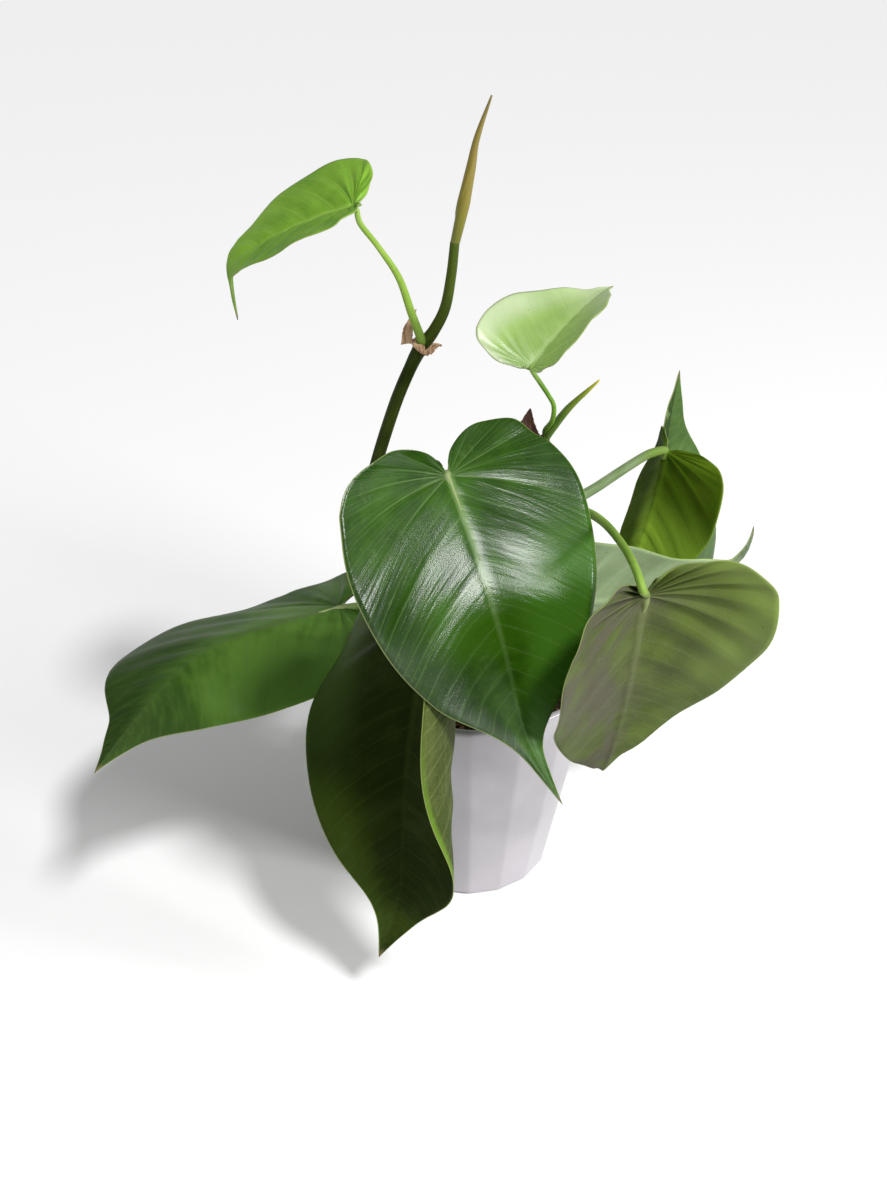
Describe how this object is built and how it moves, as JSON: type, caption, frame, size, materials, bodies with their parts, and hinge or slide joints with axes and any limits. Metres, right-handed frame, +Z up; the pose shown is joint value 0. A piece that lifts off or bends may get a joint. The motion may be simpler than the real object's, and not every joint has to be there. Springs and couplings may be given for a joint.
{
  "type": "potted heartleaf philodendron",
  "caption": "Potted heartleaf philodendron: trailing vines with heart-shaped leaves on slender stalks, rolled new leaves, in a faceted white tapered pot filled with soil.",
  "frame": {"origin": "centre of the pot's flat foot, on the surface it stands on", "axes": "+Z up, -Y towards the side with the largest leaf (the pictured front), +X to the right seen from the front"},
  "size_m": [0.2314, 0.2001, 0.2987],
  "materials": {
    "pot": "satin",
    "soil": "matte",
    "stem": "satin",
    "leaf": "satin",
    "shaded_leaf": "satin",
    "young_leaf": "satin",
    "petiole": "satin",
    "new_leaf": "satin",
    "tan_sheath": "matte",
    "dark_sheath": "matte"
  },
  "bodies": {
    "root": {"pot": "pot", "soil": "soil", "vine_tall": "stem", "vine_front": "stem", "vine_back": "stem", "blade_young_left": "young_leaf", "petiole_young_left": "petiole", "blade_young_right": "young_leaf", "petiole_young_right": "petiole", "blade_front": "leaf", "petiole_front": "petiole", "blade_right": "leaf", "petiole_right": "petiole", "blade_upper_right": "shaded_leaf", "petiole_upper_right": "petiole", "blade_back": "leaf", "petiole_back": "petiole", "blade_inner": "leaf", "petiole_inner": "petiole", "blade_left": "leaf", "petiole_left": "petiole", "blade_low": "shaded_leaf", "petiole_low": "petiole", "new_leaf_tall": "new_leaf", "new_leaf_front": "new_leaf", "sheath_tall": "tan_sheath", "sheath_front": "dark_sheath"}
  },
  "joints": []
}
